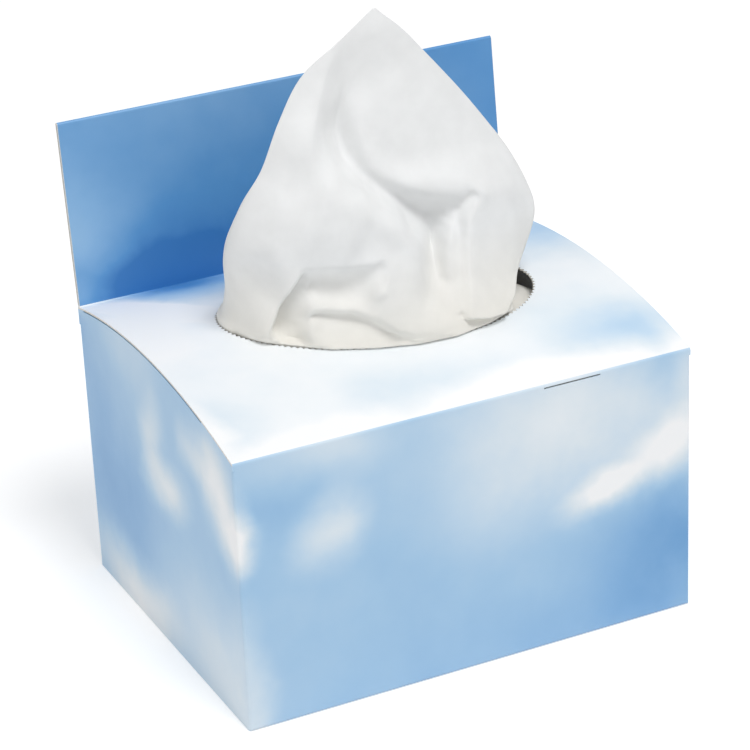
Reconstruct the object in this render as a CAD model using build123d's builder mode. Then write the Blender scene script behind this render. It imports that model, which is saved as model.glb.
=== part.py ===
import os
from math import cos, radians, sin

from build123d import *

# Carton, outside sizes in millimetres
carton_width = 120.0
carton_depth = 94.8
front_height = 70.2  # table to the fold between front wall and top panel
back_rise = 3.0  # from there up to the foot of the header
crown_rise = 7.4  # and to the highest line of the arched top
crown_from_front = 54.0
board = 0.5  # paperboard
fold_radius = 0.9  # outside of a fold
floor_layers = 2  # bottom panel and the flap glued on it

# Header, two layers of the same board folded over at the top
header_height = 46.8
header_lean = 5.5  # degrees, away from the front
header_gap = 0.3  # air between the layers

# Side panels end in an arched cut edge just below the top panel
side_gap = 0.35
side_gap_length = 74.0

# Mouth torn out of the top panel along a perforation
mouth_length = 80.5
mouth_width = 50.0
mouth_right = 1.3  # from the middle of the panel
mouth_back = 3.2
mouth_turn = -10.5  # degrees, its right end towards the front
tooth_pitch = 1.5
tooth_depth = 0.7

# Slit in the front fold, and the free edge of the flap under the floor
slit_length = 15.2
slit_right = 27.5
slit_height = 0.4
flap_edge_from_back = 14.0
flap_edge_width = 0.5
flap_edge_depth = 0.25

# Pile of interfolded tissues
pile_end_room = 6.5  # carton wall to its cut ends
pile_fold_room = 2.9  # carton wall to its folded edges
pile_headroom = 13.2  # front fold down to its top
pile_folds = 14
fold_bulge = 1.2
pile_crown = 1.5

# Tissue standing in the mouth
tissue_thickness = 0.4
tissue_clearance = 0.4  # to the pile below
tissue_room = 1.6  # to the edge of the mouth
plume_height = 74.7  # peak above the crown of the top
mouth_grip = 3.0  # above the crown, where the mouth draws the folds in
untwisted_height = 28.0  # above the crown, where the sheet no longer follows the mouth's turn
sheet_columns = 40
rows_per_section = 2

front_y = -carton_depth / 2
back_y = carton_depth / 2
crown_y = front_y + crown_from_front
back_height = front_height + back_rise
crown_height = front_height + crown_rise
floor_thickness = floor_layers * board
pile_length = carton_width - 2 * (board + pile_end_room)
pile_width = carton_depth - 2 * (board + pile_fold_room)
pile_top = front_height - pile_headroom
pile_height = pile_top - floor_thickness
plume_width = mouth_length - 2 * tissue_room
plume_reach = mouth_width / 2 - tissue_room

os.makedirs("parts", exist_ok=True)

# Carton: one blank, folded and glued
header_thickness = 2 * board + header_gap
header_up = Vector(sin(radians(header_lean)), cos(radians(header_lean)))
header_back = Vector(header_up.Y, -header_up.X)
back_foot = Vector(back_y, back_height)
front_foot = back_foot - header_back * header_thickness
back_top = back_foot + header_up * header_height
front_top = front_foot + header_up * header_height
header_crest = (back_top + front_top) / 2 + header_up * (header_thickness / 2)

with BuildPart() as carton:
    # Side panel, from the floor to the arch
    with BuildSketch(Plane.YZ.offset(carton_width / 2)) as side:
        with BuildLine():
            Line((back_y, 0), (front_y, 0))
            Line((front_y, 0), (front_y, front_height))
            arch = ThreePointArc((front_y, front_height), (crown_y, crown_height), front_foot)
            Line(front_foot, back_foot)
            Line(back_foot, (back_y, 0))
        make_face()
        fillet(side.vertices().group_by(Axis.X)[0], radius=fold_radius)
        fillet(side.vertices().group_by(Axis.Y)[0].sort_by(Axis.X)[-1], radius=fold_radius)
    extrude(amount=-board)
    # Daylight between the side panel's cut edge and the top panel
    with BuildSketch(Plane.YZ.offset(carton_width / 2)):
        with Locations(arch.arc_center):
            Circle(arch.radius - board)
            Circle(arch.radius - board - side_gap, mode=Mode.SUBTRACT)
        with Locations((crown_y, crown_height)):
            Rectangle(side_gap_length, crown_height, mode=Mode.INTERSECT)
    extrude(amount=-board, mode=Mode.SUBTRACT)
    mirror(about=Plane.YZ)
    # Band of panels: floor, front wall, arched top, header and back wall
    with BuildSketch(Plane.YZ) as band:
        with BuildLine():
            Line((back_y, 0), (front_y, 0))
            Line((front_y, 0), (front_y, front_height))
            ThreePointArc((front_y, front_height), (crown_y, crown_height), front_foot)
            Line(front_foot, front_top)
            ThreePointArc(front_top, header_crest, back_top)
            Line(back_top, back_foot)
            Line(back_foot, (back_y, 0))
        make_face()
        fillet(band.vertices().group_by(Axis.X)[0], radius=fold_radius)
        fillet(band.vertices().group_by(Axis.Y)[0].sort_by(Axis.X)[-1], radius=fold_radius)
        offset(amount=-board, kind=Kind.INTERSECTION, mode=Mode.SUBTRACT)
    extrude(amount=carton_width / 2, both=True)
    # Inner flap, glued on the floor
    with BuildSketch(Plane.XY.offset(board)):
        Rectangle(carton_width - 2 * board, carton_depth - 2 * board)
    extrude(amount=floor_thickness - board)
    # Upright folds are rounded up to the top panel
    with BuildSketch():
        Rectangle(carton_width + 2 * fold_radius, carton_depth + 2 * fold_radius)
        RectangleRounded(carton_width, carton_depth, fold_radius, mode=Mode.SUBTRACT)
    extrude(amount=front_height - 2 * fold_radius, mode=Mode.SUBTRACT)
    # Mouth, with a tooth left between every two cuts of the perforation
    rim = Edge.make_ellipse(mouth_length / 2, mouth_width / 2)
    tooth_count = round(rim.length / tooth_pitch)
    teeth = []
    for tooth in range(tooth_count):
        tip = (tooth + 0.5) / tooth_count
        inward = (rim % tip).rotate(Axis.Z, 90)
        teeth += [rim @ (tooth / tooth_count), rim @ tip + inward * tooth_depth]
    with BuildSketch(Plane((mouth_right, mouth_back, front_height)).rotated((0, 0, mouth_turn))):
        with BuildLine():
            Polyline(*teeth, close=True)
        make_face()
    extrude(amount=crown_rise + board, mode=Mode.SUBTRACT)
    # Slit in the front fold
    with BuildSketch(Plane.XZ.offset(-front_y)):
        with Locations((slit_right, front_height - fold_radius)):
            Rectangle(slit_length, slit_height)
    extrude(amount=-2 * board, mode=Mode.SUBTRACT)
    # Free edge of the outer bottom flap
    with BuildSketch():
        with Locations((0, back_y - flap_edge_from_back)):
            Rectangle(carton_width, flap_edge_width)
    extrude(amount=flap_edge_depth, mode=Mode.SUBTRACT)
carton.part.label = "carton"
export_step(carton.part, "parts/carton.step")

# Pile of tissues, its folded edges to the front and the back
pile_edge = pile_width / 2 - fold_bulge
fold_pitch = pile_height / pile_folds
with BuildPart() as tissue_pile:
    with BuildSketch(Plane.YZ):
        with BuildLine():
            for fold in range(pile_folds):
                low = floor_thickness + fold * fold_pitch
                middle = low + fold_pitch / 2
                high = low + fold_pitch
                ThreePointArc((pile_edge, low), (pile_edge + fold_bulge, middle), (pile_edge, high))
                ThreePointArc((-pile_edge, low), (-pile_edge - fold_bulge, middle), (-pile_edge, high))
            ThreePointArc((-pile_edge, pile_top), (0, pile_top + pile_crown), (pile_edge, pile_top))
            Line((-pile_edge, floor_thickness), (pile_edge, floor_thickness))
        make_face()
    extrude(amount=pile_length / 2, both=True)
tissue_pile.part.label = "tissue_pile"
export_step(tissue_pile.part, "parts/tissue_pile.step")

# Standing tissue, folded in flat facets. Seen from above, each section is an open oval that the sheet wraps
# round: height above the crown as a share of the plume's, half width, middle to the right and to the back of
# the mouth's, reach to the front, all as shares of the plume's, and the angle of the wrap to each side
plume_sections = [
    (1.00, 0.03, 0.00, -0.06, 0.02, 60),
    (0.92, 0.21, -0.02, -0.06, 0.12, 70),
    (0.83, 0.40, -0.05, -0.06, 0.22, 78),
    (0.70, 0.60, -0.05, -0.06, 0.38, 84),
    (0.55, 0.80, -0.01, -0.06, 0.55, 90),
    (0.44, 0.91, 0.01, -0.05, 0.61, 96),
    (0.39, 0.96, 0.01, -0.04, 0.64, 100),
    (0.33, 1.01, 0.01, -0.04, 0.68, 104),
    (0.27, 1.03, 0.01, -0.03, 0.75, 109),
    (0.23, 1.03, 0.00, -0.03, 0.81, 112),
    (0.12, 1.00, -0.01, -0.02, 0.93, 120),
    (0.04, 0.96, -0.03, -0.01, 0.98, 124),
    (0.00, 0.95, -0.03, -0.01, 0.97, 124),
]
# In the neck the height counts down from the crown to the pile
neck_sections = [
    (-0.55, 0.87, -0.03, -0.01, 0.84, 124),
    (-1.00, 0.77, -0.03, -0.01, 0.67, 124),
]
# Folds of the sheet as seen from the front. Points along each crease are shares of the plume's width
# and height from the middle of the mouth, then the lift to the front as a share of the reach, and the
# fade outside the crease as a share of the width. The last number is the fade inside it, which is to
# the right of the way it runs.
plume_folds = [
    # upper facet with its ledge
    ([(0.46, 0.47, 0.0, 0.05), (0.24, 0.40, 0.24, 0.11), (0.03, 0.47, 0.29, 0.05),
      (-0.12, 0.59, 0.09, 0.06)], 0.46),
    # valley to the left of it and below
    ([(-0.12, 0.76, -0.11, 0.10), (-0.14, 0.58, -0.20, 0.10), (0.01, 0.45, -0.18, 0.06)], 0.05),
    # left lobe, down into the middle column
    ([(-0.52, 0.68, 0.07, 0.28), (-0.22, 0.45, 0.36, 0.26), (0.02, 0.17, 0.22, 0.13),
      (0.05, 0.02, 0.16, 0.10)], 0.20),
    # slit beside the flap
    ([(0.10, 0.07, -0.02, 0.06), (0.13, 0.25, -0.24, 0.06), (0.15, 0.31, -0.13, 0.06)], 0.04),
    # flap at the right, its lower and left edge
    ([(0.43, 0.09, 0.0, 0.04), (0.15, 0.03, 0.18, 0.04), (0.17, 0.25, 0.18, 0.04),
      (0.21, 0.39, 0.05, 0.04)], 0.31),
    # and its right side
    ([(0.42, 0.46, 0.09, 0.31), (0.46, 0.27, 0.35, 0.33), (0.35, 0.02, 0.13, 0.23)], 0.09),
    # pocket under a lip
    ([(-0.38, 0.21, -0.02, 0.04), (-0.20, 0.26, -0.28, 0.04), (-0.10, 0.26, -0.25, 0.04),
      (-0.08, 0.17, 0.0, 0.04)], 0.15),
    # slot at the left of the mouth
    ([(-0.29, 0.21, -0.02, 0.04), (-0.34, 0.06, -0.30, 0.04), (-0.37, -0.05, -0.35, 0.04)], 0.07),
    # tuck between slot and middle column
    ([(-0.37, 0.03, -0.11, 0.04), (-0.26, 0.10, -0.20, 0.04), (-0.08, 0.03, -0.13, 0.04)], 0.20),
    # dent at the far left
    ([(-0.52, 0.35, -0.04, 0.10), (-0.44, 0.19, -0.26, 0.09), (-0.39, 0.05, -0.18, 0.06)], 0.10),
]


def section_at(sections, place):
    # A smooth curve through the listed sections, place counting them from the first
    first = min(int(place), len(sections) - 2)
    t = place - first
    nearby = [sections[min(max(first + k, 0), len(sections) - 1)] for k in (-1, 0, 1, 2)]
    smooth = []
    for a, b, c, d in zip(*nearby):
        slope = c - a + t * (2 * a - 5 * b + 4 * c - d + t * (3 * (b - c) + d - a))
        smooth.append(b + t * slope / 2)
    return smooth


def fold_lift(crease, inside, place):
    # The nearest runs of the crease count most for the lift, the fade and the side that place is on
    weights = lifts = fades = sides = 0.0
    nearest = plume_width
    for (u, v, lift, fade), (next_u, next_v, next_lift, next_fade) in zip(crease, crease[1:]):
        start = Vector(u * plume_width, v * plume_height)
        run = Vector(next_u * plume_width, next_v * plume_height) - start
        t = min(max((place - start).dot(run) / run.dot(run), 0.0), 1.0)
        away = place - start - run * t
        distance = max(away.length, tissue_thickness / 10)
        weight = distance ** -4
        weights += weight
        lifts += weight * (lift + t * (next_lift - lift))
        fades += weight * (fade + t * (next_fade - fade))
        sides += weight * (away.X * run.Y - away.Y * run.X) / (run.length * distance)
        nearest = min(nearest, distance)
    on_inside = (1 + sides / weights) / 2
    fade = (fades / weights * (1 - on_inside) + inside * on_inside) * plume_width
    return lifts / weights * max(1 - nearest / fade, 0.0)


def front_points(level, half_width, right, back, reach, wrap):
    grip = min(max((level - crown_height) / mouth_grip, 0.0), 1.0)
    turn = mouth_turn * min(max(1 - (level - crown_height) / untwisted_height, 0.0), 1.0)
    points = []
    for step in range(sheet_columns + 1):
        angle = radians(wrap * (2 * step / sheet_columns - 1))
        x = right * plume_width + half_width * plume_width / 2 * sin(angle)
        place = Vector(x, level - crown_height)
        lift = sum(fold_lift(crease, inside, place) for crease, inside in plume_folds)
        lift *= max(cos(angle), 0.0) * (grip if lift > 0 else 1.0)
        y = back * mouth_width - (reach * cos(angle) + lift) * plume_reach
        points.append(Vector(mouth_right, mouth_back, level) + Vector(x, y).rotate(Axis.Z, turn))
    return points


def back_points(points):
    last = len(points) - 1
    behind = []
    for step, point in enumerate(points):
        along = points[min(step + 1, last)] - points[max(step - 1, 0)]
        behind.append(point + Vector(-along.Y, along.X).normalized() * tissue_thickness)
    return behind


def folded_between(upper, lower):
    # Two flat facets for each step along a pair of rows
    facets = []
    for a, b, c, d in zip(upper, upper[1:], lower, lower[1:]):
        facets += [Face(Wire.make_polygon((a, c, d))), Face(Wire.make_polygon((a, d, b)))]
    return facets


neck_depth = crown_height - pile_top - pile_crown - tissue_clearance
sections = plume_sections + neck_sections
front_rows = []
for row in range(rows_per_section * (len(sections) - 1) + 1):
    height, *section = section_at(sections, row / rows_per_section)
    level = crown_height + height * (plume_height if height > 0 else neck_depth)
    front_rows.append(front_points(level, *section))
back_rows = [back_points(points) for points in front_rows]

facets = folded_between(front_rows[0], back_rows[0]) + folded_between(front_rows[-1], back_rows[-1])
for rows in (front_rows, back_rows):
    for upper, lower in zip(rows, rows[1:]):
        facets += folded_between(upper, lower)
for side in (0, -1):
    front_edge = [points[side] for points in front_rows]
    back_edge = [points[side] for points in back_rows]
    facets += folded_between(front_edge, back_edge)
with BuildPart() as standing_tissue:
    add(Solid(Shell(facets)))
standing_tissue.part.label = "standing_tissue"
export_step(standing_tissue.part, "parts/standing_tissue.step")
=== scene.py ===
from math import cos, pi, radians, sin

import bmesh
import bpy
import numpy as np
from mathutils import Matrix, Vector, noise
from mathutils.geometry import delaunay_2d_cdt


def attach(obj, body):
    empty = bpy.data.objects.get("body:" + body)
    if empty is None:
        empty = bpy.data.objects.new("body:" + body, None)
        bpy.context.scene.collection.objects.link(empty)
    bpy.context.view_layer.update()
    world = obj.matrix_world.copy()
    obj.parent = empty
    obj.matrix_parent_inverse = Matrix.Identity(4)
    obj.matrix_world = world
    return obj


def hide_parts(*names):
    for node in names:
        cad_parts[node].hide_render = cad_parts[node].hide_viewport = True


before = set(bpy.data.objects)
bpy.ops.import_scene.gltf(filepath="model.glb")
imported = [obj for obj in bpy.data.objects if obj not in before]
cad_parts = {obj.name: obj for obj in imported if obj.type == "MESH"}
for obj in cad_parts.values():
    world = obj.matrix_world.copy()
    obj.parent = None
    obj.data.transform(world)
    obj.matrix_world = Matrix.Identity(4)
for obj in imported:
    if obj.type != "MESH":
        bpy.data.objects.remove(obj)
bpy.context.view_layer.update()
mm = 0.001


def linear(hexColour):  # sRGB hex to linear RGBA
    shares = [int(hexColour[i:i + 2], 16) / 255 for i in (1, 3, 5)]
    return tuple(c / 12.92 if c <= 0.04045 else ((c + 0.055) / 1.055) ** 2.4 for c in shares) + (1.0,)


def addNode(tree, kind, inputs=None, output=0, stops=(), **settings):  # links a new node, gives one output
    node = tree.nodes.new("ShaderNode" + kind)
    for name, value in settings.items():
        setattr(node, name, value)
    for socket, value in (inputs or {}).items():
        if isinstance(value, bpy.types.NodeSocket):
            tree.links.new(value, node.inputs[socket])
        else:
            node.inputs[socket].default_value = value
    for k, (position, colour) in enumerate(stops):  # a ramp starts with two stops
        elements = node.color_ramp.elements
        stop = elements[k] if k < len(elements) else elements.new(position)
        stop.position = position
        stop.color = linear(colour)
    return node.outputs[output] if len(node.outputs) else node


def newMaterial(name):
    material = bpy.data.materials.new(name)
    material.use_nodes = True
    material.node_tree.nodes.clear()
    return material, material.node_tree


def finishPiece(bm, name, material):
    mesh = bpy.data.meshes.new(name)
    bm.to_mesh(mesh)
    bm.free()
    for polygon in mesh.polygons:
        polygon.use_smooth = True
    mesh.materials.append(material)
    piece = bpy.data.objects.new(name, mesh)
    bpy.context.collection.objects.link(piece)
    return piece


# Carton: its sizes in millimetres and degrees, then its print and its bare board
carton = {
    "width": 120.0, "depth": 94.8, "board": 0.5, "frontHeight": 70.2,
    "crownRise": 7.4, "crownFromFront": 54.0,  # the arched top's highest line, from the front fold
    "headerFoot": (46.1, 73.3), "headerLean": 5.5,  # where the top panel meets the header, back and up
    "mouth": (80.5, 50.0), "mouthPlace": (1.3, 3.2), "mouthTurn": -10.5, "toothDepth": 0.7,
    "skin": 0.07, "wallSkin": 0.32,  # a point this near to the top panel's face, or a wall's, is on it
    "wallBase": 0.46, "topBase": 0.86, "headerBase": 0.13,  # how pale the sky is there: 0 deep blue, 1 white
    "warps": [(34.0, 14.0), (10.0, 3.5)],  # grain of the clouds that bend its fields, and how far
    "warpDetail": 4.0, "warpRoughness": 0.55, "hazeGrain": 22.0, "hazeDetail": 5.0, "haze": 0.16,
    "skyColours": [(0.0, "#3477bb"), (0.2, "#5594ce"), (0.4, "#86b5e0"), (0.55, "#a5cae9"), (0.7, "#c3dbef"),
                   (0.85, "#e0ebf3"), (1.0, "#fafbfc")],
    "bareColours": [(0.3, "#dcd7cf"), (0.7, "#efece6")],
    "fibre": 0.7, "fibreDetail": 3.0, "fibreBump": 0.05, "fibreHeight": 0.1,
    "roughness": 0.42, "bareRoughness": 0.85,
    "skyFields": [  # soft fields: middle, reach in x, y, z, turn about x, y, z, and how much paler or deeper
        # front wall
        ((36, -47, 66), (80, 14, 46), (0, 0, 0), 0.30),
        ((14, -47, 48), (46, 12, 30), (0, 0, 0), 0.12),
        ((-38, -47, 68), (30, 10, 13), (0, 0, 0), 0.22),
        ((-50, -47, 60), (20, 8, 12), (0, 30, 0), -0.05),
        ((-36, -47, 46), (13, 8, 17), (0, 25, 0), 0.32),
        ((-61, -47, 50), (11, 8, 12), (0, 0, 0), 0.24),
        ((55, -47, 45), (24, 8, 13), (0, -28, 0), 0.40),
        ((36, -47, 36.5), (17, 8, 8), (0, -12, 0), 0.40),
        ((64, -47, 18), (44, 10, 30), (0, 0, 0), -0.27),
        ((30, -47, 6), (50, 10, 16), (0, 0, 0), -0.08),
        ((-62, -47, 6), (46, 14, 34), (0, 0, 0), 0.05),
        # left side
        ((-60, 44, 62), (10, 34, 28), (0, 0, 0), -0.11),
        ((-60, 4, 56), (8, 11, 18), (20, 0, 0), 0.26),
        ((-60, -5, 46), (8, 20, 11), (-8, 0, 0), 0.36),
        ((-60, -35, 60), (8, 15, 24), (-30, 0, 0), 0.44),
        ((-60, -45, 50), (8, 13, 15), (0, 0, 0), 0.22),
        ((-60, -20, 62), (8, 11, 9), (0, 0, 0), 0.20),
        ((-60, 28, 30), (10, 42, 34), (0, 0, 0), -0.20),
        ((-60, -34, 8), (10, 52, 34), (0, 0, 0), 0.30),
        ((-60, 20, 5), (12, 36, 19), (0, 0, 0), 0.46),
        # top panel
        ((-34, 46, 74), (27, 23, 14), (0, 0, 0), -0.60),
        ((-48, 30, 75), (9, 34, 10), (0, 0, 38), 0.40),
        ((-58, 14, 75), (24, 30, 18), (0, 0, 0), 0.14),
        ((-58, -32, 73), (18, 15, 6), (0, 0, 0), -0.10),
        ((-6, -36, 74), (30, 16, 6), (0, 0, 0), -0.10),
        ((44, -26, 75), (34, 18, 8), (0, 0, 0), -0.09),
        ((60, 24, 76), (30, 32, 10), (0, 0, 0), -0.36),
        ((54, -40, 72), (32, 22, 18), (0, 0, 0), -0.34),
        ((22, 48, 74), (50, 20, 10), (0, 0, 0), -0.44),
        # header
        ((-62, 49, 92), (30, 10, 32), (0, 0, 0), 0.24),
        ((-30, 51, 126), (80, 10, 34), (0, 0, 0), 0.14),
        ((-16, 48, 72), (70, 10, 30), (0, 0, 0), -0.24),
        # right side and back
        ((60, 20, 52), (8, 30, 18), (14, 0, 0), 0.34),
        ((60, -24, 36), (8, 24, 11), (-20, 0, 0), 0.32),
        ((60, -34, 66), (8, 30, 15), (0, 0, 0), 0.22),
        ((60, 0, 6), (10, 70, 24), (0, 0, 0), 0.22),
        ((-24, 48, 52), (36, 8, 14), (0, 14, 0), 0.36),
        ((34, 48, 34), (28, 8, 12), (0, -16, 0), 0.34),
        ((0, 48, 4), (80, 10, 22), (0, 0, 0), 0.24),
    ],
}
frontY, backY = -carton["depth"] / 2, carton["depth"] / 2
crownHeight = carton["frontHeight"] + carton["crownRise"]
footY, footZ = carton["headerFoot"]
lean = radians(carton["headerLean"])


def circleThrough(points):  # middle and radius of the circle through three points
    points = np.array(points)
    y, z, rest = np.linalg.solve(np.column_stack([2 * points, np.ones(3)]), (points ** 2).sum(axis=1))
    return float(y), float(z), float(rest + y * y + z * z) ** 0.5


# The top panel's arch, from the front fold over the crown to the foot of the header
archY, archZ, archRadius = circleThrough([
    (frontY, carton["frontHeight"]), (frontY + carton["crownFromFront"], crownHeight), (footY, footZ)])


def findPanels(tree, place):  # is a point on the top panel, on the header, on anything that is printed?
    x, y, z = addNode(tree, "SeparateXYZ", {0: place}).node.outputs
    skin, wallSkin = carton["skin"] * mm, carton["wallSkin"] * mm
    radial = addNode(tree, "VectorMath", {0: place, 1: (0, archY * mm, archZ * mm)}, operation="SUBTRACT")
    radial = addNode(tree, "VectorMath", {0: radial, 1: (0, 1, 1)}, operation="MULTIPLY")
    radial = addNode(tree, "VectorMath", {0: radial}, "Value", operation="LENGTH")

    fromFoot = addNode(tree, "VectorMath", {0: place, 1: (0, footY * mm, footZ * mm)}, operation="SUBTRACT")
    upHeader = addNode(tree, "VectorMath", {0: fromFoot, 1: (0, sin(lean), cos(lean))}, "Value",
                       operation="DOT_PRODUCT")
    intoHeader = addNode(tree, "VectorMath", {0: fromFoot, 1: (0, cos(lean), -sin(lean))}, "Value",
                         operation="DOT_PRODUCT")
    aboveFoot = addNode(tree, "Math", {0: upHeader, 1: wallSkin}, operation="GREATER_THAN")
    onHeader = addNode(tree, "Math", {0: intoHeader, 1: -wallSkin}, operation="GREATER_THAN")
    onHeader = addNode(tree, "Math", {0: onHeader, 1: aboveFoot}, operation="MULTIPLY")
    offHeader = addNode(tree, "Math", {0: 1.0, 1: onHeader}, operation="SUBTRACT")
    onTop = addNode(tree, "Math", {0: radial, 1: archRadius * mm - skin}, operation="GREATER_THAN")
    onTop = addNode(tree, "Math", {0: onTop, 1: offHeader}, operation="MULTIPLY")

    side = addNode(tree, "Math", {0: x}, operation="ABSOLUTE")
    depth = addNode(tree, "Math", {0: carton["width"] / 2 * mm, 1: side}, operation="SUBTRACT")
    atSide = addNode(tree, "Math", {0: depth, 1: skin}, operation="LESS_THAN")
    fromFront = addNode(tree, "Math", {0: y, 1: frontY * mm}, operation="SUBTRACT")
    fromBack = addNode(tree, "Math", {0: backY * mm, 1: y}, operation="SUBTRACT")
    for fromWall in (fromFront, fromBack, z):
        depth = addNode(tree, "Math", {0: depth, 1: fromWall}, operation="MINIMUM")
    onWall = addNode(tree, "Math", {0: depth, 1: wallSkin}, operation="LESS_THAN")

    underside = (archRadius - carton["board"]) * mm
    inTop = addNode(tree, "Math", {0: radial, 1: underside}, operation="GREATER_THAN")
    cutEdge = addNode(tree, "Math", {0: onHeader, 1: inTop}, operation="MAXIMUM")
    cutEdge = addNode(tree, "Math", {0: cutEdge, 1: atSide}, operation="MULTIPLY")
    cutEdge = addNode(tree, "Math", {0: cutEdge, 1: onTop}, operation="SUBTRACT", use_clamp=True)
    printed = addNode(tree, "Math", {0: onWall, 1: onTop}, operation="MAXIMUM")
    printed = addNode(tree, "Math", {0: printed, 1: onHeader}, operation="MAXIMUM")
    printed = addNode(tree, "Math", {0: printed, 1: cutEdge}, operation="SUBTRACT", use_clamp=True)
    return onTop, onHeader, printed


def makeSky(tree, place, onTop, onHeader):  # the print: soft fields, bent by two sizes of cloud noise
    bent = place
    for grain, reach in carton["warps"]:
        drift = addNode(tree, "TexNoise", {
            "Vector": place, "Scale": 1 / (grain * mm), "Detail": carton["warpDetail"],
            "Roughness": carton["warpRoughness"]}, "Color")
        drift = addNode(tree, "VectorMath", {0: drift, 1: (0.5,) * 3}, operation="SUBTRACT")  # to both sides
        push = (reach * mm,) * 3
        bent = addNode(tree, "VectorMath", {0: drift, 1: push, 2: bent}, operation="MULTIPLY_ADD")
    toTop, toHeader = carton["topBase"] - carton["wallBase"], carton["headerBase"] - carton["wallBase"]
    pale = addNode(tree, "Math", {0: onTop, 1: toTop, 2: carton["wallBase"]}, operation="MULTIPLY_ADD")
    pale = addNode(tree, "Math", {0: onHeader, 1: toHeader, 2: pale}, operation="MULTIPLY_ADD")
    for middle, reach, turn, amount in carton["skyFields"]:
        field = addNode(tree, "Mapping", {
            "Vector": bent, "Location": [c * mm for c in middle], "Rotation": [radians(a) for a in turn],
            "Scale": [r * mm for r in reach]}, vector_type="TEXTURE")
        field = addNode(tree, "TexGradient", {0: field}, "Fac", gradient_type="SPHERICAL")
        field = addNode(tree, "MapRange", {"Value": field}, interpolation_type="SMOOTHSTEP")
        pale = addNode(tree, "Math", {0: field, 1: amount, 2: pale}, operation="MULTIPLY_ADD")
    haze = addNode(tree, "TexNoise", {
        "Vector": place, "Scale": 1 / (carton["hazeGrain"] * mm), "Detail": carton["hazeDetail"]}, "Fac")
    pale = addNode(tree, "Math", {0: haze, 1: carton["haze"], 2: pale}, operation="MULTIPLY_ADD")
    return addNode(tree, "ValToRGB", {0: pale}, stops=carton["skyColours"])


# Printed paperboard: coated on the print side, a soft satin sheen; its cut edges and inside are bare fibre
def makePrintedBoard():
    material, tree = newMaterial("printedPaperboard")
    place = addNode(tree, "TexCoord", output="Object")
    onTop, onHeader, printed = findPanels(tree, place)
    sky = makeSky(tree, place, onTop, onHeader)
    fibre = addNode(tree, "TexNoise", {
        "Vector": place, "Scale": 1 / (carton["fibre"] * mm), "Detail": carton["fibreDetail"]}, "Fac")
    bare = addNode(tree, "ValToRGB", {0: fibre}, stops=carton["bareColours"])
    colour = addNode(tree, "Mix", {0: printed, 6: bare, 7: sky}, 2, data_type="RGBA")
    bareRough = carton["bareRoughness"]
    toSatin = carton["roughness"] - bareRough
    rough = addNode(tree, "Math", {0: printed, 1: toSatin, 2: bareRough}, operation="MULTIPLY_ADD")
    grain = addNode(tree, "Bump", {
        "Strength": carton["fibreBump"], "Distance": carton["fibreHeight"] * mm, "Height": fibre})
    board = addNode(tree, "BsdfPrincipled", {"Base Color": colour, "Roughness": rough, "Normal": grain})
    addNode(tree, "OutputMaterial", {0: board})
    return material


printedBoard = makePrintedBoard()
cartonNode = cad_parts["carton"]
cartonNode.data.materials.clear()
cartonNode.data.materials.append(printedBoard)
print("carton printed")

# Tissue paper: its creping and fibre clouds in millimetres, and a painted warm bounce light from the carton's
# inside that grows towards the mouth
tissue = {
    "creping": 0.8, "crepingDetail": 3.0, "crepingBump": 0.1, "crepingHeight": 0.1,
    "clouds": 6.0, "cloudDetail": 4.0, "cloudColours": [(0.3, "#e8e9e9"), (0.7, "#eeefef")],
    # painted light: a warm cast for light bounced off the carton's inside, none above the first height, full
    # below the second
    "noPaintedBounceAbove": 98.0, "fullPaintedBounceBelow": 78.0, "paintedBounceTint": "#fdf9f1",
    "roughness": 0.92, "specular": 0.2, "scatter": 0.1, "scatterReach": 0.6,
}


# Facial tissue: creped two-ply paper, matt, and thin enough for light to soften its shadows
def makeTissuePaper():
    material, tree = newMaterial("facialTissue")
    place = addNode(tree, "TexCoord", output="Object")
    creping = addNode(tree, "TexNoise", {
        "Vector": place, "Scale": 1 / (tissue["creping"] * mm), "Detail": tissue["crepingDetail"]}, "Fac")
    clouds = addNode(tree, "TexNoise", {
        "Vector": place, "Scale": 1 / (tissue["clouds"] * mm), "Detail": tissue["cloudDetail"]}, "Fac")
    tint = addNode(tree, "ValToRGB", {0: clouds}, stops=tissue["cloudColours"])
    height = addNode(tree, "SeparateXYZ", {0: place}, "Z")
    # painted bounce light: below the crown the paper takes the warm cast of light bounced off the carton's
    # inside, fully near the mouth
    paintedBounceShare = addNode(tree, "MapRange", {
        "Value": height, "From Min": tissue["noPaintedBounceAbove"] * mm, "From Max": tissue["fullPaintedBounceBelow"] * mm})
    paintedBounceTint = linear(tissue["paintedBounceTint"])
    paintedBounce = addNode(tree, "Mix", {0: paintedBounceShare, 6: (1, 1, 1, 1), 7: paintedBounceTint}, 2, data_type="RGBA")
    colour = addNode(tree, "Mix", {0: 1.0, 6: tint, 7: paintedBounce}, 2, data_type="RGBA", blend_type="MULTIPLY")
    relief = addNode(tree, "Bump", {
        "Strength": tissue["crepingBump"], "Distance": tissue["crepingHeight"] * mm, "Height": creping})
    paper = addNode(tree, "BsdfPrincipled", {
        "Base Color": colour, "Roughness": tissue["roughness"], "Specular IOR Level": tissue["specular"],
        "Subsurface Weight": tissue["scatter"], "Subsurface Radius": (1.0, 1.0, 1.0),
        "Subsurface Scale": tissue["scatterReach"] * mm, "Normal": relief})
    addNode(tree, "OutputMaterial", {0: paper})
    return material


tissuePaper = makeTissuePaper()

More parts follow.
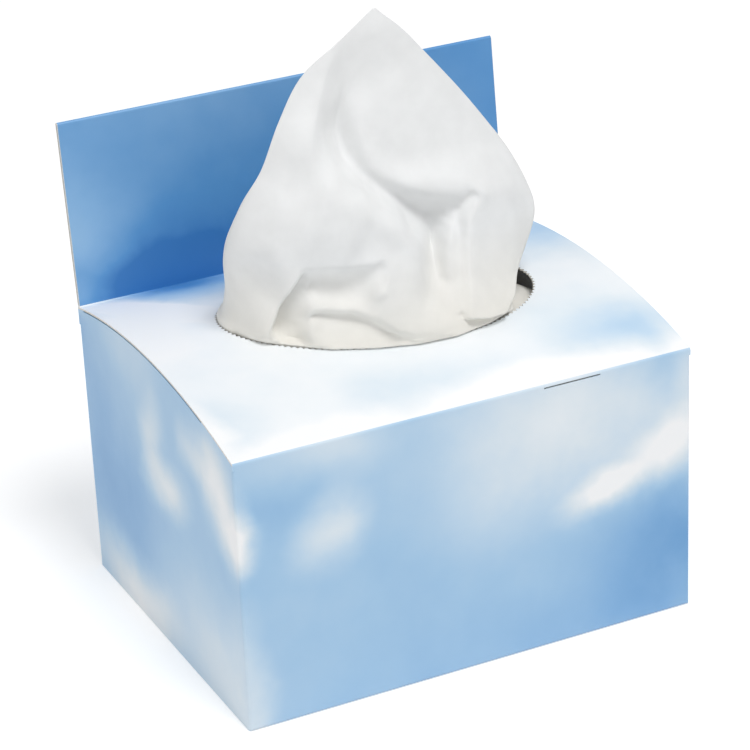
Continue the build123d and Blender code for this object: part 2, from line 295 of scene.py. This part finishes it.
# Standing tissue: its round form, its creases and its way through the mouth, in millimetres and degrees
standing = {
    "columns": 240, "rows": 190, "crowding": 0.22, "thickness": 0.2,
    "crinkle": 0.05, "crinkleGrain": 7.0, "crinkleNoise": (1.0, 2.0, 3),  # fall, spacing and count of octaves
    "softFolds": 36, "softening": 3, "smoothing": 0.5,  # passes on soft folds and on all, and their strength
    "crispReach": 1.2,  # soft folds keep this far from a crisp crease
    "foldedTo": 74.0, "foldedFrom": 75.2,  # angle to each side, and height, within which the creases shape it
    "borderPoints": 30, "footPoints": 20, "weld": 0.05, "sliver": 0.01,  # of the net of creases
    "untwistedHeight": 28.0,  # so far above the crown it no longer follows the mouth's turn
    "toothRoom": 0.15, "throatDepth": 0.62, "flare": 1.0,  # clear of the teeth to this depth, then spreading
    "sections": [  # from the peak: height, half width, middle across and back, reach forward, wrap each way
        (152.0, 0.4, 3.2, 1.5, 0.2, 60), (146.0, 9.5, 1.6, 1.0, 2.0, 62), (139.6, 17.4, -0.9, 0.8, 3.5, 68),
        (130.0, 24.3, -0.4, 0.5, 6.0, 74), (118.7, 30.2, 1.4, 0.8, 9.5, 84),
        (110.5, 35.3, 2.0, 1.2, 12.5, 94), (102.2, 38.9, 2.6, 1.8, 15.0, 104),
        (94.8, 40.0, 3.1, 2.4, 18.3, 112), (86.6, 37.8, 1.6, 2.8, 21.5, 120),
        (80.6, 35.8, -1.0, 3.0, 23.0, 124), (78.2, 36.5, -1.6, 3.0, 24.2, 124),
        (77.0, 36.5, -1.6, 3.0, 24.2, 124), (75.0, 35.4, -0.5, 3.0, 23.2, 124),
        (72.0, 39.8, 3.3, 3.0, 21.0, 124), (67.4, 41.0, 4.5, 3.0, 20.5, 124),
        (58.9, 41.0, 4.5, 3.0, 20.0, 124),
    ],
    "creases": {  # points across, up and to the back, with flat facets of the sheet between the creases
        "wing": [(-12, 137, -2), (-16.5, 129, -5)],
        "valley": [(-6, 132, 0.5), (-8, 127, 1.5), (-8.5, 122, 1), (-7.5, 117, -0.5), (-5, 113, -1.5),
                   (-1, 109.5, -2.5), (5, 105, -3), (10.5, 101.5, -3.5), (13.5, 99.5, -4.5)],
        "lobe": [(-21, 125, -7), (-19, 122, -9), (-15, 117.5, -13), (-7.5, 111, -16.5), (-0.5, 104.5, -18),
                 (2.5, 97.5, -18.5), (2, 91, -20), (1, 84, -22), (0.5, 79.5, -23.5)],
        "lobeSide": [(-28, 111, -8), (-31, 101.5, -8.5)],
        "lobeFront": [(-21, 108, -13.5), (-13.5, 103, -16.5)],
        "ridge": [(5, 115, -4.5), (14, 115.5, -5.5), (21, 115.5, -5), (28.5, 114.5, -3.5)],
        "ledge": [(-3.5, 126, -3), (-4, 120.5, -5), (-3, 116.5, -7), (0, 113, -9), (4.5, 110.5, -10.5),
                  (9.5, 108.5, -11.5), (16, 107.5, -12), (23, 106, -12)],
        "slit": [(13.3, 97.5, -5), (12.3, 95, -5.5), (11, 92, -8), (10, 88.5, -12.5)],
        "stripEdge": [(15.5, 99, -11), (13.6, 96, -13), (12.2, 92, -14.5), (11.3, 88.5, -16)],
        "flapShadow": [(22, 104.8, -9.5), (19.2, 102.2, -9), (17.8, 99, -10), (17.2, 95.5, -12),
                       (15.3, 88, -16.5), (14.3, 84, -19.5)],
        "flapEdge": [(24, 105.5, -12), (21, 103.5, -12.5), (19, 101, -13), (18, 95.5, -14.5), (16, 88, -18.5),
                     (15, 84, -21), (13.5, 79.5, -23.5), (18.5, 78.5, -23.5), (24, 78, -22), (29, 80, -17.5),
                     (32, 84, -13)],
        "flapUnder": [(13, 78.8, -21.5), (18.5, 77.8, -21), (24.5, 77.2, -19), (29, 78.6, -15)],
        "flapTop": [(25.5, 105.5, -11.5), (32, 104, -9), (37, 102.5, -6)],
        "pocketLip": [(-23, 95.5, -11.5), (-20.5, 96.5, -13), (-15, 96.5, -15.5), (-9, 96.5, -17.5),
                      (-6, 97, -18), (-5, 95, -19), (-6.5, 92, -20), (-8.5, 90, -20.5)],
        "pocketDeep": [(-22, 91, -7.5), (-16, 90, -9.5), (-11, 90.5, -12.5), (-8.5, 93.5, -15)],
        "tuckEdge": [(-23.5, 86, -13), (-19, 86, -15), (-14, 85.5, -17.5), (-10, 83.5, -19.5),
                     (-6, 80.5, -22.5)],
        "tuckIn": [(-22.5, 84.5, -11), (-19, 84.5, -12.5), (-14, 84, -14.5), (-10.5, 82.5, -17),
                   (-7, 80, -19.5)],
        "slotLip": [(-24, 96.5, -12), (-27, 92, -12), (-30.5, 86.5, -11), (-32, 81.5, -9.5)],
        "slotDeep": [(-24, 94.5, -9), (-26, 91.5, -7), (-28.5, 86.5, -5), (-30, 81.5, -4.5)],
        "slotRight": [(-23.5, 92, -8.5), (-24.5, 88, -8), (-25.5, 83.5, -6.5), (-26, 79, -7)],
        "slotSide": [(-22.5, 89.5, -11), (-23, 87.5, -12.5)],
        "tuckSide": [(-23.5, 83.5, -13), (-24.5, 81, -13.5), (-24, 78, -14)],
        "dent": [(-34, 94.5, 0), (-32, 91.5, -1.5), (-30, 88.5, -5)],
        "leftFoot": [(-33, 83.5, -7.5), (-34, 80, -8)],
        "smallCrease": [(-9, 101, -16), (-5, 100.5, -16.5), (-2.5, 98.5, -17)],
        "atRim": [(-30, 77.6, -8.5), (-25, 77.2, -12.5), (-20, 77, -16.5), (-10, 76.4, -20.5), (0, 76.1, -23),
                  (10, 76, -23.5), (20, 76.3, -21.5), (28, 76.7, -18)],
    },
    "crisp": ("stripEdge", "flapShadow", "flapEdge", "flapUnder", "pocketLip", "tuckEdge", "tuckIn",
              "slotDeep", "slotSide", "tuckSide", "atRim"),
}
mouthX, mouthY = carton["mouthPlace"]
mouthTurn = radians(carton["mouthTurn"])


def smoothRows(place):  # a smooth curve through the listed sections, place counting them from the first
    rows = np.array(standing["sections"], float)
    first = np.clip(place.astype(int), 0, len(rows) - 2)
    t = (place - first)[:, None]
    a, b, c, d = (rows[np.clip(first + k, 0, len(rows) - 1)] for k in (-1, 0, 1, 2))
    return (b + t / 2 * (c - a + t * (2 * a - 5 * b + 4 * c - d + t * (3 * (b - c) + d - a)))).T


def roundForm(share, place):  # the sheet uncreased; share runs from -1 at its left edge to 1 at its right
    up, halfWidth, middle, middleBack, reach, wrap = smoothRows(place)
    angle = np.radians(wrap * share)
    across = middle + halfWidth * np.sin(angle) - mouthX
    back = middleBack - reach * np.cos(angle) - mouthY
    turn = mouthTurn * (1 - np.clip((up - crownHeight) / standing["untwistedHeight"], 0, 1))
    turnedAcross = across * np.cos(turn) - back * np.sin(turn) + mouthX
    turnedBack = across * np.sin(turn) + back * np.cos(turn) + mouthY
    return turnedAcross, turnedBack, up, np.abs(wrap * share)


def creaseNet():  # triangles between the creases and the border where the round form takes over
    heights = np.array(standing["sections"])[:, 0]
    lowest = np.interp(-standing["foldedFrom"], -heights, np.arange(len(heights)))
    place = np.linspace(0, lowest, standing["borderPoints"])
    border = np.minimum(standing["foldedTo"] / smoothRows(place)[-1], 1)
    foot = np.linspace(-border[-1], border[-1], standing["footPoints"])
    edges = [(-border, place), (border, place), (foot, np.full(len(foot), lowest))]
    lines = [np.stack(roundForm(*edge)[:3], 1)[:, [0, 2, 1]] for edge in edges]  # across, up, back
    lines += [np.array(crease, float) for crease in standing["creases"].values()]
    points = np.concatenate(lines)
    starts = np.cumsum([0] + [len(line) for line in lines])
    runs = [(k, k + 1) for first, line in zip(starts, lines) for k in range(first, first + len(line) - 1)]
    flat = [Vector(point[:2]) for point in points]
    corners, _, triangles, origins, _, _ = delaunay_2d_cdt(flat, runs, [], 0, standing["weld"])
    depths = [points[origin[0], 2] if origin else None for origin in origins]
    return [[(*corners[k], depths[k]) for k in triangle] for triangle in triangles]


def creasedDepth(across, up):  # how far back the facet lies there, or no number outside the net
    depth = np.full(across.shape, np.nan)
    for (ax, az, ay), (bx, bz, by), (cx, cz, cy) in creaseNet():
        size = (bz - cz) * (ax - cx) + (cx - bx) * (az - cz)
        if abs(size) < standing["sliver"]:
            continue
        a = ((bz - cz) * (across - cx) + (cx - bx) * (up - cz)) / size
        b = ((cz - az) * (across - cx) + (ax - cx) * (up - cz)) / size
        within = np.minimum(np.minimum(a, b), 1 - a - b) > -1e-6  # a facet's own edges count
        depth[within] = (a * ay + b * by + (1 - a - b) * cy)[within]
    return depth


def crispDistance(across, up):  # how far a point of the sheet lies from the nearest crisp crease
    nearest = np.full(across.shape, np.inf)
    for name in standing["crisp"]:
        crease = standing["creases"][name]
        for (ax, az, _), (bx, bz, _) in zip(crease, crease[1:]):
            along = ((across - ax) * (bx - ax) + (up - az) * (bz - az)) / ((bx - ax) ** 2 + (bz - az) ** 2)
            along = np.clip(along, 0, 1)
            apart = np.hypot(across - ax - along * (bx - ax), up - az - along * (bz - az))
            nearest = np.minimum(nearest, apart)
    return nearest


def throughMouth(sheet):  # draws the sheet in where it passes the mouth's teeth
    rim = carton["toothDepth"] + standing["toothRoom"]
    halfLength, halfWidth = (size / 2 - rim for size in carton["mouth"])
    middle = np.array([mouthX, mouthY, 0.0])
    across, back, up = (sheet - middle).T
    along = (across * cos(mouthTurn) + back * sin(mouthTurn)) / halfLength
    aside = (back * cos(mouthTurn) - across * sin(mouthTurn)) / halfWidth
    panel = archZ + np.sqrt(archRadius ** 2 - (sheet[:, 1] - archY) ** 2) - carton["board"] / 2
    beyond = np.abs(up - panel) - standing["throatDepth"]
    room = 1 + standing["flare"] * np.maximum(beyond, 0)
    drawnIn = np.minimum(room / np.hypot(along, aside), 1)
    return middle + (sheet - middle) * np.stack([drawnIn, drawnIn, np.ones_like(drawnIn)], 1)


def makeStandingTissue():
    bm = bmesh.new()
    bmesh.ops.create_grid(bm, x_segments=standing["columns"], y_segments=standing["rows"], size=1.0)
    flat = np.array([vert.co for vert in bm.verts])
    share = flat[:, 0] * (1 - standing["crowding"] * (1 - flat[:, 0] ** 2))  # more columns at the front
    across, back, up, angle = roundForm(share, (1 - flat[:, 1]) / 2 * (len(standing["sections"]) - 1))
    folded = creasedDepth(across, up)
    creased = (angle <= standing["foldedTo"]) & (up > standing["foldedFrom"]) & np.isfinite(folded)
    back = np.where(creased, folded, back)
    for vert, place in zip(bm.verts, np.stack([across, back, up], 1)):
        place = Vector(place)
        crinkle = noise.fractal(place / standing["crinkleGrain"], *standing["crinkleNoise"])
        place.y -= standing["crinkle"] * crinkle
        vert.co = place * mm
    loose = crispDistance(across, up) > standing["crispReach"]
    soft = [vert for vert, free in zip(bm.verts, loose) if free]
    for verts, passes in ((soft, standing["softFolds"]), (bm.verts[:], standing["softening"])):
        for _ in range(passes):
            bmesh.ops.smooth_vert(bm, verts=verts, factor=standing["smoothing"], use_axis_y=True)
    for vert, place in zip(bm.verts, throughMouth(np.array([vert.co for vert in bm.verts]) / mm)):
        vert.co = Vector(place) * mm
    piece = finishPiece(bm, "tissueSheet", tissuePaper)
    solid = piece.modifiers.new("sheetThickness", "SOLIDIFY")
    solid.thickness = standing["thickness"] * mm
    solid.offset = 0.0
    return piece


tissueSheet = makeStandingTissue()
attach(tissueSheet, "root")
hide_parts("standing_tissue")
print("tissue stands in the mouth")

# Pile of interfolded tissues, in millimetres; its folded edges bulge, each a little unlike the next
pile = {
    "length": 106.0, "width": 88.0, "floor": 1.0, "height": 56.0, "crown": 1.3,
    "folds": 14, "cutsPerFold": 4, "bulge": 1.2, "edgeShare": 0.05,
    "unevenness": 0.5, "sideSeed": 3.0, "layerSeed": 1.7,
}


def makePile():
    bm = bmesh.new()
    bmesh.ops.create_cube(bm, size=1.0)
    cuts = pile["cutsPerFold"] * pile["folds"] - 1
    bmesh.ops.subdivide_edges(bm, edges=bm.edges[:], cuts=cuts, use_grid_fill=True)
    for vert in bm.verts:
        x, y, z = vert.co
        layer = (z + 0.5) * pile["folds"]
        crevice = 1 - abs(sin(pi * layer))
        whichFold = int(layer - 0.01)  # the line between two folds goes with the lower one
        uneven = noise.noise(Vector((0.0, round(y) * pile["sideSeed"], whichFold * pile["layerSeed"])))
        nearEdge = max(0.0, 1 - (0.5 - abs(y)) / pile["edgeShare"])
        width = pile["width"] + (uneven * pile["unevenness"] - 2 * pile["bulge"] * crevice) * nearEdge
        rise = pile["crown"] * (1 - 4 * y * y) * max(0.0, 2 * z)
        height = pile["floor"] + (z + 0.5) * pile["height"] + rise
        vert.co = Vector((x * pile["length"], y * width, height)) * mm
    return finishPiece(bm, "tissuePile", tissuePaper)


tissuePile = makePile()
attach(tissuePile, "root")
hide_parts("tissue_pile")
print("pile in the carton")

# Floor, air and lamps, in metres and watts
studio = {
    "floorSize": 3.0, "floorColour": "#f2f2f2", "floorGlow": 0.36, "airLight": 0.48, "aim": (0, 0, 0.06),
    "lamps": {  # place, width and power
        "overheadKey": ((0.12, -0.58, 1.38), 0.6, 10.8),
        "leftFill": ((-1.3, -0.35, 0.35), 0.9, 2.5),
    },
}


def seenShare(tree):  # 1 for what the camera sees, also in gloss and through glass
    sight = addNode(tree, "LightPath").node.outputs
    seen = sight["Is Camera Ray"]
    for ray in ("Is Glossy Ray", "Is Transmission Ray"):
        seen = addNode(tree, "Math", {0: seen, 1: sight[ray]}, operation="MAXIMUM")
    return seen


# Pale floor: matt paint that keeps the shadow, with a glow that only the eye sees
def makeFloor():
    material, tree = newMaterial("paleFloor")
    glow = addNode(tree, "Math", {0: seenShare(tree), 1: studio["floorGlow"]}, operation="MULTIPLY")
    paint = addNode(tree, "BsdfDiffuse", {"Color": linear(studio["floorColour"])})
    light = addNode(tree, "Emission", {"Color": (1, 1, 1, 1), "Strength": glow})
    both = addNode(tree, "AddShader", {0: paint, 1: light})
    addNode(tree, "OutputMaterial", {0: both})
    bm = bmesh.new()
    bmesh.ops.create_grid(bm, x_segments=1, y_segments=1, size=studio["floorSize"])
    return finishPiece(bm, "floor", material)


floor = makeFloor()


def makeWorld():  # white to the eye, dimmer as light
    world = bpy.data.worlds.new("softStudio")
    world.use_nodes = True
    tree = world.node_tree
    tree.nodes.clear()
    seen = seenShare(tree)
    strength = addNode(tree, "MapRange", {"Value": seen, "To Min": studio["airLight"], "To Max": 1.0})
    air = addNode(tree, "Background", {"Color": (1, 1, 1, 1), "Strength": strength})
    addNode(tree, "OutputWorld", {0: air})
    return world


bpy.context.scene.world = makeWorld()

for name, (place, width, power) in studio["lamps"].items():
    light = bpy.data.lights.new(name, "AREA")
    light.shape = "DISK"
    light.size = width
    light.energy = power
    lamp = bpy.data.objects.new(name, light)
    bpy.context.collection.objects.link(lamp)
    lamp.location = place
    lamp.rotation_euler = (Vector(studio["aim"]) - Vector(place)).to_track_quat("-Z", "Y").to_euler()

# Camera at the photograph's viewing angle: degrees, metres, and its lens in millimetres
view = {"azimuth": -25.18, "elevation": 25.16, "roll": -2.6, "distance": 0.789,
        "target": (0.0194, 0.0442, 0.036), "lens": 143.5, "sensor": 36.0}


def makeCamera():
    camera = bpy.data.cameras.new("camera")
    camera.lens = view["lens"]
    camera.sensor_width = view["sensor"]
    cameraObject = bpy.data.objects.new("camera", camera)
    bpy.context.collection.objects.link(cameraObject)
    azimuth, elevation = radians(view["azimuth"]), radians(view["elevation"])
    back = Vector((sin(azimuth) * cos(elevation), -cos(azimuth) * cos(elevation), sin(elevation)))
    right = (-back).cross(Vector((0, 0, 1))).normalized()
    up = right.cross(-back)
    turned = Matrix((right, up, back)).transposed().to_4x4() @ Matrix.Rotation(radians(view["roll"]), 4, "Z")
    cameraObject.matrix_world = Matrix.Translation(Vector(view["target"]) + back * view["distance"]) @ turned
    return cameraObject


bpy.context.scene.camera = makeCamera()
bpy.context.scene.view_settings.view_transform = "Standard"
print("floor, light and camera set")
